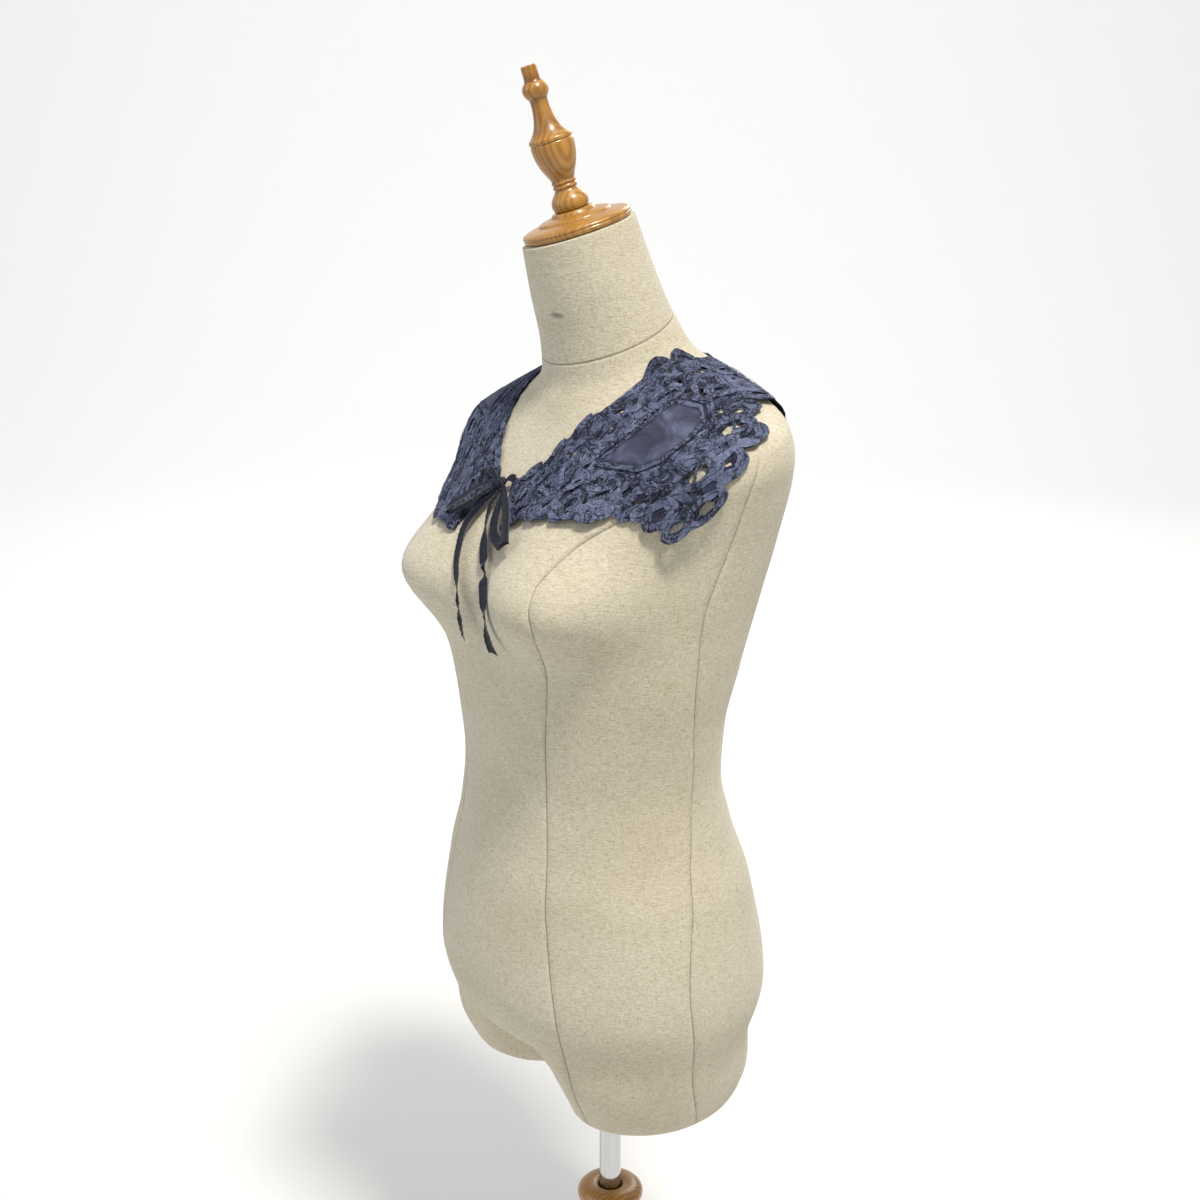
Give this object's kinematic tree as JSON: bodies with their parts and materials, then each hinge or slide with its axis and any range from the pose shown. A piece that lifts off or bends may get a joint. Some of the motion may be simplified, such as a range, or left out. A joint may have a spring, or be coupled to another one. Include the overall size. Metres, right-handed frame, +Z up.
{
  "type": "tape lace false collar on a dress form",
  "caption": "Wide navy tape lace collar with scalloped edges and a ribbon bow, worn on a linen dress form with turned wooden neck cap, finial and stand.",
  "frame": {"origin": "centre of the round base's underside, on the floor, on the axis of the pole", "axes": "+Z up along the pole; the form faces -Y; +X is the wearer's left"},
  "size_m": [0.3551, 0.2922, 1.1903],
  "materials": {
    "linen_cover": "matt unbleached linen with slubs",
    "varnished_wood": "honey varnish, glossy",
    "chrome_tube": "polished",
    "navy_tape_lace": "matt puckered cotton tape",
    "navy_lawn": "smooth fine lawn",
    "navy_satin": "satin ribbon with paler selvedges"
  },
  "bodies": {
    "stand": {"base": "varnished_wood", "post": "varnished_wood"},
    "pole": {"pole": "chrome_tube"},
    "form": {"torso": "linen_cover", "neck_cap": "varnished_wood", "finial": "varnished_wood", "lace_left": "navy_tape_lace", "lace_right": "navy_tape_lace", "insert_left": "navy_lawn", "insert_right": "navy_lawn", "tie_knot": "navy_satin", "tie_stub_right": "navy_satin", "tie_stub_left": "navy_satin", "tie_loop_right": "navy_satin", "tie_tail_right": "navy_satin", "tie_tail_left": "navy_satin", "tie_loop_left": "navy_satin"}
  },
  "joints": [
    {"name": "height_slide", "type": "slide", "parent": "stand", "child": "pole", "axis": [0, 0, 1], "range_m": [-0.04, 0.05]},
    {"name": "form_turn", "type": "hinge", "parent": "pole", "child": "form", "pos_m": [0, 0, 0.35], "axis": [0, 0, 1], "continuous": true}
  ]
}
